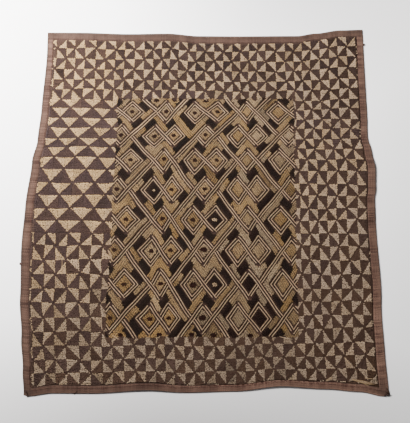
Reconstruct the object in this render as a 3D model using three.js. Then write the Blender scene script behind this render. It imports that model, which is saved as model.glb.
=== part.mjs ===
// A cut-pile raffia cloth with a turned hem, lying face up on its flat underside.
// Millimetres, +Z up, +Y towards the cloth's top edge, +X towards its right edge.
import * as THREE from "three";
import { mergeVertices } from "three/addons/utils/BufferGeometryUtils.js";

// Size between the corners
const WIDTH = 580;
const LENGTH = 647;

// Heights of the face above the underside
const EDGE_TOP = 1.4;
const HEM_TOP = 2.1;
const SEAM_TOP = 1.2;
const PILE_TOP = 2.7;
const PANEL_DROP = 0.5;
const LOZENGE_CROWN = 0.5;
const PILE_WAVE = 0.12;
const WAVE_LENGTHS = { x: 94, y: 133 };

// The turned hem, the pile's rise beside it and the folded outer edge
const HEM = { left: 16, right: 13.5, top: 12, bottom: 12 };
const PILE_RISE = 4;
const FOLD_BULGE = 0.8;
const HEM_PROFILE = [
  { share: 0, top: EDGE_TOP },
  { share: 0.18, top: HEM_TOP - 0.1 },
  { share: 0.7, top: HEM_TOP },
  { share: 1, top: SEAM_TOP },
];

// Each edge from its low end to its high end: how far it runs out from the straight line
// between the corners, and how far its cockled hem stands up from the surface below.
const EDGES = {
  left: [
    { at: 0, out: 0, up: 0 },
    { at: 0.06, out: 4, up: 0.5 },
    { at: 0.14, out: 10, up: 0.4 },
    { at: 0.24, out: 16.5, up: 1.1 },
    { at: 0.38, out: 20, up: 2.6 },
    { at: 0.48, out: 18.5, up: 1.4 },
    { at: 0.61, out: 12.5, up: 0.4 },
    { at: 0.67, out: 5.5, up: 0.3 },
    { at: 0.76, out: 2, up: 0.9 },
    { at: 0.92, out: -1.2, up: 0.8 },
    { at: 1, out: 0, up: 0 },
  ],
  right: [
    { at: 0, out: 1.7, up: 0 },
    { at: 0.1, out: -0.7, up: 0.6 },
    { at: 0.19, out: -1.6, up: 0.4 },
    { at: 0.27, out: 0.4, up: 0.8 },
    { at: 0.42, out: -1.1, up: 0.3 },
    { at: 0.5, out: -0.4, up: 0.9 },
    { at: 0.53, out: 2.9, up: 1.6 },
    { at: 0.59, out: 4.4, up: 2.3 },
    { at: 0.63, out: 0.4, up: 1.2 },
    { at: 0.68, out: -5, up: 0.4 },
    { at: 0.74, out: -3.4, up: 0.3 },
    { at: 0.85, out: -3.3, up: 0.7 },
    { at: 1, out: -1.7, up: 0 },
  ],
  bottom: [
    { at: 0, out: 0, up: 0 },
    { at: 0.015, out: 2.2, up: 0 },
    { at: 0.08, out: -2.6, up: 0.6 },
    { at: 0.19, out: -2, up: 0.4 },
    { at: 0.34, out: -6.8, up: 1.5 },
    { at: 0.44, out: -3.4, up: 0.5 },
    { at: 0.58, out: -5.4, up: 0.4 },
    { at: 0.71, out: -13, up: 2.2 },
    { at: 0.83, out: -8.8, up: 0.7 },
    { at: 0.92, out: -4.8, up: 0.6 },
    { at: 0.985, out: 2.2, up: 0 },
    { at: 1, out: 0, up: 0 },
  ],
  top: [
    { at: 0, out: -2.9, up: 0 },
    { at: 0.1, out: -3.5, up: 0.6 },
    { at: 0.26, out: -6.2, up: 0.4 },
    { at: 0.38, out: -5.5, up: 0.9 },
    { at: 0.48, out: -10.4, up: 0.4 },
    { at: 0.6, out: -11.5, up: 1.4 },
    { at: 0.79, out: -10.3, up: 0.5 },
    { at: 0.85, out: -5, up: 0.4 },
    { at: 0.93, out: 1.4, up: 0.6 },
    { at: 1, out: 2.9, up: 0 },
  ],
};
const EDGE_PULL = 8;
const COCKLE_REACH = 60;

// The panel of lozenges: its columns are one pitch apart, its hand-worked rows are not.
const COLUMN_PITCH = 18;
const COLUMNS = 17;
const MIDDLE_COLUMN = 8;
const MIDDLE_COLUMN_X = -1.5;
const LOZENGE_ROWS = [162, 118, 72, 18, -35, -88, -146, -202];
const PANEL = { left: -157, right: 149, top: 190, bottom: -233 };

// Steps of the mesh in the margins, and through the thickness
const SIDE_MARGIN_STEPS = 6;
const TOP_MARGIN_STEPS = 6;
const BOTTOM_MARGIN_STEPS = 4;
const THICKNESS_STEPS = 2;

const { lerp, clamp, smoothstep } = THREE.MathUtils;

// A smooth reading of one column of a table whose rows are in order of their key.
function read(table, key, value, column) {
  const next = table.findIndex((row) => row[key] >= value);
  if (next <= 0) return table[next < 0 ? table.length - 1 : 0][column];
  const a = table[next - 1];
  const b = table[next];
  return lerp(a[column], b[column], smoothstep(value, a[key], b[key]));
}

// The place on the surface of the point at shares u and v of the width and length.
function place(u, v) {
  const x =
    (u - 0.5) * WIDTH -
    read(EDGES.left, "at", v, "out") * (1 - u) ** EDGE_PULL +
    read(EDGES.right, "at", v, "out") * u ** EDGE_PULL;
  const y =
    (v - 0.5) * LENGTH -
    read(EDGES.bottom, "at", u, "out") * (1 - v) ** EDGE_PULL +
    read(EDGES.top, "at", u, "out") * v ** EDGE_PULL;
  return { x, y };
}

// For a point of the cloth: each edge's hem width, how far away the edge is and how far it stands up.
function edgesAt(u, v) {
  return [
    { hem: HEM.left, away: u * WIDTH, up: read(EDGES.left, "at", v, "up") },
    { hem: HEM.right, away: (1 - u) * WIDTH, up: read(EDGES.right, "at", v, "up") },
    { hem: HEM.bottom, away: v * LENGTH, up: read(EDGES.bottom, "at", u, "up") },
    { hem: HEM.top, away: (1 - v) * LENGTH, up: read(EDGES.top, "at", u, "up") },
  ];
}

// The cockled hem stands up from the surface and falls to it within a short reach.
function lift(u, v) {
  const lifts = edgesAt(u, v).map(
    ({ away, up }) => up * clamp(1 - away / COCKLE_REACH, 0, 1) ** 2,
  );
  return Math.max(...lifts);
}

// The face over one edge: folded edge, flat hem, sewn seam and the rise of the pile.
function faceFromEdge({ hem, away }) {
  if (away <= hem) return read(HEM_PROFILE, "share", away / hem, "top");
  return lerp(SEAM_TOP, PILE_TOP, smoothstep(away, hem, hem + PILE_RISE));
}

// A lozenge stands singly in one group of columns and in a pair in the next, by turns.
function isLozenge(column, row) {
  const group = Math.round(column / 4);
  const fromMiddle = Math.abs(column - 4 * group);
  const single = (group + row) % 2 === 1;
  if (fromMiddle === 2) return false;
  return single ? fromMiddle === 0 : fromMiddle === 1;
}

// The face's height: pile field, and in the panel lower stitched lines with raised lozenges.
function face(u, v, column, row) {
  const height = Math.min(...edgesAt(u, v).map(faceFromEdge));
  const wave =
    PILE_WAVE *
    Math.sin((2 * Math.PI * u * WIDTH) / WAVE_LENGTHS.x) *
    Math.cos((2 * Math.PI * v * LENGTH) / WAVE_LENGTHS.y);
  if (column === null || row === null) return height + (height === PILE_TOP ? wave : 0);
  const crown = Number.isInteger(row) && isLozenge(column, row) ? LOZENGE_CROWN : 0;
  return height - PANEL_DROP + crown + wave;
}

const shares = (count) => Array.from({ length: count }, (_, i) => i / count);

// Mesh lines across the cloth: hem, margin, panel lines, margin, hem.
function lines(size, lowHem, highHem, panelLines, lowSteps, highSteps) {
  const low = panelLines[0].at;
  const high = panelLines[panelLines.length - 1].at;
  const plain = (at) => ({ at, step: null });
  const fieldLow = lowHem + PILE_RISE;
  const fieldHigh = size - highHem - PILE_RISE;
  return [
    ...HEM_PROFILE.map(({ share }) => plain(share * lowHem)),
    ...shares(lowSteps).map((share) => plain(lerp(fieldLow, low, share))),
    ...panelLines,
    ...shares(highSteps).map((share) => plain(lerp(fieldHigh, high, share))).reverse(),
    ...HEM_PROFILE.map(({ share }) => plain(size - share * highHem)).reverse(),
  ];
}

// Lines along the panel's columns, from its left edge to its right edge.
function columnLines() {
  const columns = Array.from({ length: COLUMNS }, (_, step) => ({
    at: WIDTH / 2 + MIDDLE_COLUMN_X + (step - MIDDLE_COLUMN) * COLUMN_PITCH,
    step,
  }));
  return [
    { at: WIDTH / 2 + PANEL.left, step: null },
    ...columns,
    { at: WIDTH / 2 + PANEL.right, step: null },
  ];
}

// Lines along the panel's rows and half-way between them, from its bottom edge to its top edge.
function rowLines() {
  const rows = LOZENGE_ROWS.flatMap((y, row) => {
    const next = LOZENGE_ROWS[row + 1];
    const own = { at: LENGTH / 2 + y, step: row };
    if (next === undefined) return [own];
    return [own, { at: LENGTH / 2 + (y + next) / 2, step: row + 0.5 }];
  });
  return [
    { at: LENGTH / 2 + PANEL.bottom, step: null },
    ...rows.reverse(),
    { at: LENGTH / 2 + PANEL.top, step: null },
  ];
}

// The one closed sheet: a box's skin laid out along the mesh lines.
function sheetGeometry() {
  const across = lines(
    WIDTH,
    HEM.left,
    HEM.right,
    columnLines(),
    SIDE_MARGIN_STEPS,
    SIDE_MARGIN_STEPS,
  );
  const along = lines(
    LENGTH,
    HEM.bottom,
    HEM.top,
    rowLines(),
    BOTTOM_MARGIN_STEPS,
    TOP_MARGIN_STEPS,
  );
  const nx = across.length - 1;
  const ny = along.length - 1;
  const nz = THICKNESS_STEPS;
  const skin = new THREE.BoxGeometry(1, 1, 1, nx, ny, nz);
  skin.deleteAttribute("normal");
  skin.deleteAttribute("uv");
  const points = skin.getAttribute("position");
  for (let n = 0; n < points.count; n++) {
    const i = Math.round((points.getX(n) + 0.5) * nx);
    const j = Math.round((points.getY(n) + 0.5) * ny);
    const share = Math.round((points.getZ(n) + 0.5) * nz) / nz;
    const u = across[i].at / WIDTH;
    const v = along[j].at / LENGTH;
    const { x, y } = place(u, v);
    const bulge = FOLD_BULGE * Math.sin(Math.PI * share);
    const outX = i === 0 ? -bulge : i === nx ? bulge : 0;
    const outY = j === 0 ? -bulge : j === ny ? bulge : 0;
    const z = lift(u, v) + share * face(u, v, across[i].step, along[j].step);
    points.setXYZ(n, x + outX, y + outY, z);
  }
  const sheet = mergeVertices(skin);
  sheet.computeBoundingBox();
  const middle = sheet.boundingBox.getCenter(new THREE.Vector3());
  sheet.translate(-middle.x, -middle.y, 0);
  sheet.computeVertexNormals();
  return sheet;
}

const raffia = new THREE.MeshStandardMaterial({
  name: "raffia",
  color: 0x7d6250,
  roughness: 0.9,
  metalness: 0,
});

const cloth = new THREE.Mesh(sheetGeometry(), raffia);
cloth.name = "raffia_cloth";

const part = new THREE.Group();
part.name = "kuba_raffia_cloth";
part.add(cloth);

export default part;
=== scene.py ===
"""A cut-pile raffia cloth with a turned hem, lying face up on a pale floor."""
import math

import bmesh
import bpy
import numpy as np
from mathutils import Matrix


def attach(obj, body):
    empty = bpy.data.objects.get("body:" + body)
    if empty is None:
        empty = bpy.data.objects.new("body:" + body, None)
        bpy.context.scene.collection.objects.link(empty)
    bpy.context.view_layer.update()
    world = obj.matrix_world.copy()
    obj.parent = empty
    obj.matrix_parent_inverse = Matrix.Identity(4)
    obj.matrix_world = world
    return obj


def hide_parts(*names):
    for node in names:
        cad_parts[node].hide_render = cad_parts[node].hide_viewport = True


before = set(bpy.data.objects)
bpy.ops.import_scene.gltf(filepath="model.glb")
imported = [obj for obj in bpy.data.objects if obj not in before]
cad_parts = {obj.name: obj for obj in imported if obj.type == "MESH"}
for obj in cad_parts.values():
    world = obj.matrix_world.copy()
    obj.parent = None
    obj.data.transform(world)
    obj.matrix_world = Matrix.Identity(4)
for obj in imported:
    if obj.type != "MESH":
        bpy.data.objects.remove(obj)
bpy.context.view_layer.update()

chance = np.random.default_rng(41)

# Everything below is charted in millimetres on the cloth, from the middle of its four
# corners, and goes to metres in the part's frame when a mesh is made.
MM = 0.001
WIDTH = 580.0
LENGTH = 647.0
MIDDLE = np.array([7.8, -0.35])

# Each edge from its low end to its high end: place along it, how far it runs out from the
# straight line between the corners, and how far its cockled hem stands up.
EDGES = {
    "left": [
        (0, 0, 0), (0.06, 4, 0.5), (0.14, 10, 0.4), (0.24, 16.5, 1.1), (0.38, 20, 2.6),
        (0.48, 18.5, 1.4), (0.61, 12.5, 0.4), (0.67, 5.5, 0.3), (0.76, 2, 0.9),
        (0.92, -1.2, 0.8), (1, 0, 0),
    ],
    "right": [
        (0, 1.7, 0), (0.1, -0.7, 0.6), (0.19, -1.6, 0.4), (0.27, 0.4, 0.8),
        (0.42, -1.1, 0.3), (0.5, -0.4, 0.9), (0.53, 2.9, 1.6), (0.59, 4.4, 2.3),
        (0.63, 0.4, 1.2), (0.68, -5, 0.4), (0.74, -3.4, 0.3), (0.85, -3.3, 0.7),
        (1, -1.7, 0),
    ],
    "bottom": [
        (0, 0, 0), (0.015, 2.2, 0), (0.08, -2.6, 0.6), (0.19, -2, 0.4), (0.34, -6.8, 1.5),
        (0.44, -3.4, 0.5), (0.58, -5.4, 0.4), (0.71, -13, 2.2), (0.83, -8.8, 0.7),
        (0.92, -4.8, 0.6), (0.985, 2.2, 0), (1, 0, 0),
    ],
    "top": [
        (0, -2.9, 0), (0.1, -3.5, 0.6), (0.26, -6.2, 0.4), (0.38, -5.5, 0.9),
        (0.48, -10.4, 0.4), (0.6, -11.5, 1.4), (0.79, -10.3, 0.5), (0.85, -5, 0.4),
        (0.93, 1.4, 0.6), (1, 2.9, 0),
    ],
}
LEFT, RIGHT, BOTTOM, TOP = range(4)
EDGE_PULL = 3
COCKLE_REACH = 60.0
# The turned hem's width along each edge
HEMS = {
    "left": [(0, 12), (0.2, 13.5), (0.5, 13.5), (0.75, 13), (1, 11)],
    "right": [(0, 15), (0.3, 13.7), (1, 12)],
    "bottom": [(0, 13), (0.2, 12.5), (0.65, 10.5), (1, 13)],
    "top": [(0, 15.4), (0.35, 16), (0.6, 15.6), (1, 14)],
}
# Heights, and the folded edge's upper and lower side by distance from it
GROUND_TOP = 0.9
HEM_TOP = 2.1
PILE_TOP = 2.55
FOLD = [(0, 0.75), (0.3, 1.15), (0.8, 1.45), (2, 1.85), (4, 2.3)]
UNDER_FOLD = [(0, 0.75), (0.3, 0.3), (0.8, 0.06), (2, 0)]
# Mesh lines of the woven cloth beside its edges, the step between the rest, and its strands
EDGE_LINES = np.array([0, 0.3, 0.8, 2, 4, 6, 8, 9, 10, 11, 12, 13, 14, 15, 16, 18])
MESH_STEP = 6.0
WARP_PITCH = 1.5
WEFT_PITCH = 1.7

# The field of triangles: lines between its columns, and between its rows at the left and
# at the right side of the cloth.
COLUMN_LINES = np.array([
    -289.5, -272.5, -255, -237.8, -219.8, -199.3, -182, -164.2, -147.7, -129.8, -111.6, -94.4,
    -78.8, -64.1, -49.2, -32.9, -18.2, -1, 16.3, 32.6, 49, 63.9, 78.6, 93.3, 108.9, 127.5,
    145.5, 161.2, 176.1, 191.6, 208.2, 224.6, 241.1, 259.2, 275.8, 292,
])
ROW_LINES = np.array([
    (331, 331), (309.8, 310.5), (290.5, 290.2), (269.7, 269), (248.9, 248.4), (228.3, 226.4),
    (208.8, 207.3), (187.8, 186.7), (171.3, 168.7), (152.3, 147.5), (133.8, 130.6),
    (113.6, 111.1), (97.1, 92.2), (77.8, 72.5), (55.5, 51.3), (30.9, 27), (8.9, 6.9),
    (-15.2, -15.3), (-37.4, -34.9), (-58.6, -60.7), (-79.7, -82.4), (-104.4, -105.5),
    (-129.1, -130), (-153.6, -154.5), (-176.7, -174.6), (-201, -196.7), (-224.4, -216.7),
    (-247.6, -241.5), (-269.7, -263.4), (-290.4, -285.1), (-311.4, -305.1), (-333, -326),
])
# The block at the left where every cell's lower half is dark: its rows and its last column
PLAIN_ROWS = (7, 18)
PLAIN_COLUMNS = 7
LANE_WIDTH = 1.8

# The panel of lozenges: lattice columns at the first and last row, and lattice rows
PANEL = {"left": -159.2, "right": 153.8, "top": 187.5, "bottom": -233}
LEFT_LEAN = 0.02
RIGHT_LEAN = 0.0143
FIRST_DOWN = -4
LAST_DOWN = 10
LOZENGE_COLUMNS = np.array([
    (-3, -206, -216), (-1, -167, -176), (0, -148, -157), (1, -129.7, -137.5), (3, -88, -92),
    (4, -70.3, -76), (5, -55.4, -61), (7, -18.2, -22.6), (8, 1.2, -5.2), (9, 21, 13),
    (11, 57.8, 53), (12, 72.6, 71.5), (13, 89.1, 88), (15, 129.2, 126.8), (16, 148, 143),
    (17, 167, 162), (20, 221, 216),
])
LOZENGE_ROWS = np.array([
    (-8, 251), (-6, 206.6), (-4, 162.1), (-2, 117.6), (0, 72.3), (2, 18.2), (4, -35),
    (6, -88.4), (8, -146.4), (10, -202.1), (12, -258), (14, -314),
])
LOZENGE_RISE = 0.81
LOZENGE_REACH = 0.9
CELL_REACH = 1.02
# Row and group of the one lozenge whose bands lean the other way
TURNED_LOZENGE = (0, 1)
# Lattice columns of the lozenges that show in even and in odd rows
SHOWN_COLUMNS = [(1, 4, 7, 9, 12, 15), (0, 3, 5, 8, 11, 13, 16)]
# What fills the lozenges of each row, from the left: o gold with a small dark eye, O with a
# large one, p plain gold, k black with a small pale eye, K with a large one, b plain black
LOZENGE_FILLS = [
    "oooopp", "ooooppp", "oooopp", "okooppp", "oooKpp", "oooOppp", "ooOKbp", "oooOpbp",
]
ROWS = range(-1, len(LOZENGE_FILLS) + 1)
EYE_RADII = {"o": 3.9, "O": 5.4, "k": 2.4, "K": 3.7}
# Lattice columns where the panel's top and bottom edge cut through an eye
EDGE_EYES = {"top": (3, 5, 8), "bottom": (1, 4, 7, 9, 12)}
EDGE_EYE_INSET = 3.4
EDGE_EYE_RADIUS = 4.2
EDGE_EYE_ROOM = 8
# The corridor round each pair of lozenges, cell by cell: its straight cells have a letter and
# its corners a dot. In each of these sets some cells are black bars, and all the rest is gold.
CORRIDOR = [
    (0, 0, "."), (1, 0, "A"), (2, 0, "a"), (3, 0, "."), (3, 1, "B"), (3, 2, "."), (4, 2, "C"),
    (5, 2, "."), (5, 3, "D"), (5, 4, "d"), (5, 5, "."), (4, 5, "E"), (3, 5, "e"), (2, 5, "."),
    (2, 4, "F"), (2, 3, "."), (1, 3, "G"), (0, 3, "."), (0, 2, "H"), (0, 1, "h"),
]
BLACK_CELLS = ["AGEBD", "hFEaD", "eEaCG", "HFAdD", "AaCEH", "HFABd"]
BAR_OVERRUN = 0.25

# Stitched bands: half their width, and their lines' distances from the middle
BAND_HALF = 5.3
CREAM_OFFSETS = (-2.1, 2.1)
DARK_OFFSETS = (-3.6, -0.6, 0.6, 3.6)
STITCH_STEP = 2.2
STITCH_LENGTH = 3.4
RUN_OVER = 0.3
SHORTEST_RUN = 1.2
MITRE = 1.1
LONG_BAND_STOP = 3.4

# Tufts: their spacing, and the room kept to the hem and to the lines between colours
TUFT_PITCH = 1.62
ROW_PITCH = 2.15
GRID_INSET = 8
ROWS_PER_CELL = 9
PANEL_CELLS = (-16, 32)
HEM_CLEAR = 0.9
EDGE_CLEAR = 0.9
ROOT_RADIUS = 0.75
# Each triangle, bar and lozenge has a number for its tone and hue, and all dark eyes share one
BAR_NUMBERS = 1000
LOZENGE_NUMBERS = 4000
EYE = 8000
NUMBERS = 8192

# Rows of hem stitches: edge, from and to along it, inset, step, length and tone
HEM_ROWS = [
    ("left", 0.03, 0.97, 10.6, 6.5, 3.6, 0.4),
    ("right", 0.03, 0.97, 11.2, 6.5, 3.6, 0.4),
    ("right", 0.16, 0.3, 7.2, 5.5, 2.6, -0.4),
    ("top", 0.02, 0.98, 10, 7, 3.6, 0.6),
    ("bottom", 0.02, 0.98, 9.8, 7.5, 5.2, 0.5),
    ("bottom", 0.03, 0.97, 7.4, 9, 6, 0.8),
    ("bottom", 0.155, 0.2, 9, 2.2, 1.6, -0.9),
]
HEM_STITCH_WIDTH = 1.4
# Loose ends: from, to and how many strands
PALE_ENDS = [
    ((234, -300), (270, -308), 4), ((248, -303), (262, -309), 3), ((192, -302), (203, -296), 4),
    ((224.5, -266), (235, -279), 4), ((-164, -88), (-157, -108), 4),
    ((-241, -105), (-240.5, -122), 1), ((255, -298), (268, -300), 3),
    ((-151, -230), (-140, -236), 3), ((120, -231), (141, -236), 2),
]
DARK_ENDS = [
    ((-205, -317), (-211, -323.4), 2), ((285, -319), (294, -325), 4),
    ((289, -312), (293, -321), 3), ((-286, -318), (-281, -326), 3), ((-150, 176), (-146, 186), 2),
]
STRAND_RINGS = 7
STRAND_WIDTH = 0.8
STRAND_TAPER = [(0, 0.6), (0.2, 1), (0.8, 1), (1, 0.3)]
# Knots: place and radius
KNOTS = [
    (-309, -111.8, 2.3), (288.4, 295.7, 2.2), (-282.5, -323.4, 3), (289, -322, 3.2),
    (285, -323.5, 2.4),
]
KNOT_HEIGHT = 1.0
KNOT_HALF = 0.9

# Dyed raffia: first and second dye, painted shade at the root, unevenness and sheen
RAFFIAS = {
    "cream_raffia": ((147, 119, 81), (140, 121, 102), 0.35, 0.55, 0.05),
    "dark_raffia": ((57, 45, 45), (62, 45, 34), 0.4, 0.6, 0),
    "gold_raffia": ((109, 84, 49), (116, 99, 78), 0.35, 0.7, 0.05),
    "black_raffia": ((20, 14, 9), (34, 11, 5), 0.4, 0.7, 0),
    "cream_strand": ((159, 137, 109), (143, 118, 94), 0.25, 0.5, 0.05),
    "red_strand": ((52, 23, 17), (42, 21, 16), 0.2, 0.8, 0),
    "brown_strand": ((35, 20, 15), (28, 17, 13), 0.3, 0.6, 0),
}
# Deep and light dye of the woven cloth: the ground's is darker as painted shade under the pile, and
# the fold's is darker as wear and painted shade
WOVEN_DYES = {
    "hem": ((45, 29, 24), (93, 71, 60)),
    "ground": ((37, 25, 21), (57, 41, 34)),
    "rubbed_and_shaded": ((44, 32, 27), (75, 57, 48)),
}

# Floor, in metres: its drop, and painted soft shadows on it with their middle, reach each way and
# colour
FLOOR_DROP = 0.0003
PAINTED_FLOOR_SHADOWS = [
    ((-0.06, -0.46), (0.55, 0.3), (0.3, 0.29, 0.29, 1)),
    ((0.14, 0.5), (0.34, 0.36), (0.5, 0.49, 0.5, 1)),
]
# Camera: lens and sensor, tilt off straight-on, the spot it looks at and metres from there
LENS = 59.57
SENSOR = 36
TILT = math.radians(15.5)
AIM = (-1.17, -20.37)
DISTANCE = 1.1953


# The lie of the cloth


def rise(value, low, high):
    """A smooth step from 0 at low to 1 at high."""
    share = np.clip((value - low) / (high - low), 0, 1)
    return share * share * (3 - 2 * share)


def read(table, at, column=1):
    """A smooth reading of one column of a table that is in order of its first column."""
    rows = np.array(table, dtype=float)
    at = np.asarray(at, dtype=float)
    low = np.clip(np.searchsorted(rows[:, 0], at) - 1, 0, len(rows) - 2)
    share = rise(at, rows[low, 0], rows[low + 1, 0])
    return rows[low, column] + (rows[low + 1, column] - rows[low, column]) * share


def shares(s, t):
    """Shares of the width and of the length at a point of the flat cloth."""
    return s / WIDTH + 0.5, t / LENGTH + 0.5


def laid(s, t):
    """Where a point of the flat cloth lies, with the waves of the edges dying out inwards."""
    u, v = shares(s, t)
    x = s - read(EDGES["left"], v) * (1 - u) ** EDGE_PULL + read(EDGES["right"], v) * u**EDGE_PULL
    y = t - read(EDGES["bottom"], u) * (1 - v) ** EDGE_PULL + read(EDGES["top"], u) * v**EDGE_PULL
    return x, y


def unlaid(x, y):
    """The flat cloth's point that lies here."""
    s, t = x, y
    for _ in range(4):
        moved_x, moved_y = laid(s, t)
        s, t = s + x - moved_x, t + y - moved_y
    return s, t


def from_edges(s, t):
    """For each edge, as EDGES has them: distance to it, the hem's width and how far it stands up."""
    u, v = shares(s, t)
    away = np.array([u * WIDTH, (1 - u) * WIDTH, v * LENGTH, (1 - v) * LENGTH])
    along = dict(zip(EDGES, (v, v, u, u)))
    hem = np.array([read(HEMS[edge], at) for edge, at in along.items()])
    up = np.array([read(EDGES[edge], at, 2) for edge, at in along.items()])
    return away, hem, up


def lift(away, up):
    """How far the cockled hem lifts the cloth."""
    return (up * np.clip(1 - away / COCKLE_REACH, 0, 1) ** 2).max(axis=0)


def hem_share(away, hem):
    """1 on the turned hem and 0 inside it."""
    return (1 - rise(away, 0.9 * hem, hem + 0.6)).max(axis=0)


def surface(x, y):
    """Height of the pile, the hem or the folded edge, or just above the floor beside the cloth."""
    away, hem, up = from_edges(*unlaid(x, y))
    nearest = away.min(axis=0)
    inside = (away - hem).min(axis=0)
    flat = np.where(nearest > 1.5, HEM_TOP, np.where(nearest > 0, 1.3, 0.3))
    return lift(away, up) * (nearest > 0) + np.where(inside > 1, PILE_TOP, flat)


# Hand work, wear and painted light


def wander(x, y):
    """The small drift of hand-worked lines."""
    dx = 0.7 * np.sin(x / 19 + y / 31) + 0.5 * np.sin(y / 11.3 + 1.7)
    dy = 0.7 * np.sin(x / 27 - y / 17 + 2.1) + 0.5 * np.sin(x / 12.1 + 0.4)
    return dx + 0.4 * np.sin(x / 7.9 - y / 13), dy + 0.4 * np.sin(x / 10 + y / 8.3)


def ragged(x, y):
    """The uneven run of the panel's edges."""
    return 0.9 * np.sin(x / 5.1 + y / 4.3)


def slow_shade(x, y):
    """Broad uneven paling and deepening of the dyes, about -1 to 1."""
    return (
        np.sin(x / 61 + 0.7) * np.cos(y / 83 - 0.4)
        + 0.6 * np.sin(x / 29 - y / 37)
        + 0.4 * np.cos(x / 17 + y / 23 + 1.1)
    ) / 2


def straw_share(x, y):
    """Where the gold of the panel is a paler straw."""
    return rise(x, -60, 20) * rise(-y, 0, 90) * (1 - rise(x, 95, 135))


def painted_light_and_fading(x, y, colour):
    """Painted light and shade across the cloth on the pale, the dark and the panel's pile, with some
    paling and soiling of the dyes.
    """
    top = rise(y, 50, 220)
    left = 1 - rise(x, -270, -120)
    right = rise(x, 90, 220)
    pale = 0.1 - 0.35 * top - 0.5 * rise(-y, 20, 240)
    pale += 0.7 * left * top + right * (0.12 + 0.38 * rise(-y, -20, 220) + 0.15 * top)
    dark = 0.0007 * x - 0.0012 * y + 0.3 * left * top
    dark -= 0.25 * rise(x, -230, -110) * rise(y, 130, 220)
    gold = 0.0003 * (y - x) - 0.2 * rise(y, -50, 100) + 0.12 * rise(-y, 0, 150)
    gold += 0.1 * (rise(x, 0, 100) - rise(-x, -20, 100)) * rise(y, -20, 100)
    gold += 0.02 * straw_share(x, y)
    return np.where(colour == "C", pale, np.where(colour == "D", dark, gold))


# Meshes


def put(name, data):
    """A new object in the scene."""
    thing = bpy.data.objects.new(name, data)
    bpy.context.scene.collection.objects.link(thing)
    return thing


def new_piece(name, mesh, material):
    piece = put(name, mesh)
    mesh.materials.append(material)
    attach(piece, "root")
    return piece


def mesh_from(name, bm):
    mesh = bpy.data.meshes.new(name)
    bm.to_mesh(mesh)
    bm.free()
    return mesh


def many_mesh(name, points, faces, cells, flat_faces=()):
    """One mesh of many like small shapes: points (n, p, 3), faces as corner lists of one shape,
    each corner's place in the shape's own cell of the bake map, and the faces to shade flat."""
    count, per, _ = points.shape
    mesh = bpy.data.meshes.new(name)
    corners = [[corner + n * per for corner in face] for n in range(count) for face in faces]
    mesh.from_pydata((points * MM).reshape(-1, 3), [], corners)
    smooth = [number not in flat_faces for number in range(len(faces))]
    mesh.polygons.foreach_set("use_smooth", np.tile(smooth, count))
    side = math.ceil(math.sqrt(count))
    order = np.arange(count)
    home = np.stack([order % side, order // side], axis=1)
    place = np.concatenate(cells)
    uv = (home[:, None, :] + 0.04 + 0.92 * place[None, :, :]) / side
    layer = mesh.uv_layers.new(name="OFBake")
    layer.data.foreach_set("uv", uv.astype(np.float32).ravel())
    return mesh


def give(mesh, name, values):
    """One number for each point of a mesh."""
    layer = mesh.attributes.new(name, "FLOAT", "POINT")
    layer.data.foreach_set("value", values.astype(np.float32))


def fibre_piece(name, points, shape, tone, hue, tip, material):
    """A piece of many like fibres, with each one's tone and hue, and a tip share for its points."""
    count, per, _ = points.shape
    mesh = many_mesh(name, points + np.array([*MIDDLE, 0]), *shape)
    give(mesh, "tone", np.repeat(tone, per))
    give(mesh, "hue", np.repeat(hue, per))
    give(mesh, "tip", np.tile(tip, count))
    return new_piece(name, mesh, material)


def side_cell(k, low, high):
    """Place in the bake map of one of the three sides of a fibre."""
    return [(k / 3, low), ((k + 1) / 3, low), ((k + 1) / 3, high), (k / 3, high)]


def crosswise(along):
    """The direction square to each of these, on its left."""
    return np.stack([-along[..., 1], along[..., 0]], axis=-1)


def unit(along):
    return along / np.linalg.norm(along)


def halfway(start, end):
    """The x and the y of the middles between starts and ends."""
    return ((start + end) / 2).T


TUFT_FACES = [(0, 1, 4, 3), (1, 2, 5, 4), (2, 0, 3, 5), (3, 4, 5), (0, 2, 1)]
TUFT_CELLS = [side_cell(k, 0, 0.7) for k in range(3)]
TUFT_CELLS += [[(0.1, 0.76), (0.9, 0.76), (0.5, 1)], [(0, 0.84), (0.2, 1), (0, 1)]]
TUFT_ROOT = 4
# Each point's share of the tip, from the root at 0: the fibre material paints shade at the root
TUFT_TIPS = [0, 0, 0, 1, 1, 1]


def pile(name, tufts, material, wide=1.42):
    """Cut tufts of raffia, each a little sheaf that spreads from its root to its cut tip."""
    place = np.stack([tufts["x"], tufts["y"]], axis=1)[:, None]
    count = len(place)
    turn = chance.uniform(0, 2 * math.pi, count)[:, None] + np.arange(3) * (2 * math.pi / 3)
    reach = chance.normal(wide, 0.12, count)[:, None, None]
    lean = chance.normal(0, 0.22, (2, count, 1)).transpose(1, 2, 0)
    ring = np.stack([np.cos(turn), np.sin(turn)], axis=2)
    points = np.zeros((count, 6, 3))
    points[:, :3, :2] = place + ROOT_RADIUS * ring
    points[:, 3:, :2] = place + lean + reach * ring
    points[:, :3, 2] = tufts["low"][:, None]
    points[:, 3:, 2] = tufts["high"][:, None] + chance.normal(0, 0.07, (count, 3))
    shape = (TUFT_FACES, TUFT_CELLS, (TUFT_ROOT,))
    return fibre_piece(name, points, shape, tufts["tone"], tufts["hue"], TUFT_TIPS, material)


STITCH_FACES = [(0, 2, 1), (0, 3, 2), (0, 1, 3)]
STITCH_FACES += [(1, 2, 5, 4), (2, 3, 6, 5), (3, 1, 4, 6)]
STITCH_FACES += [(4, 5, 7), (5, 6, 7), (6, 4, 7)]
STITCH_CELLS = [[(k / 3 + 0.16, 0), ((k + 1) / 3, 0.25), (k / 3, 0.25)] for k in range(3)]
STITCH_CELLS += [side_cell(k, 0.25, 0.75) for k in range(3)]
STITCH_CELLS += [[(k / 3, 0.75), ((k + 1) / 3, 0.75), (k / 3 + 0.16, 1)] for k in range(3)]
# Each point's share of the tip: low where a stitch dips into the cloth, which the fibre material
# paints in shade
STITCH_TIPS = [0.2, 0.5, 1, 0.5, 0.5, 1, 0.5, 0.2]


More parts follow.
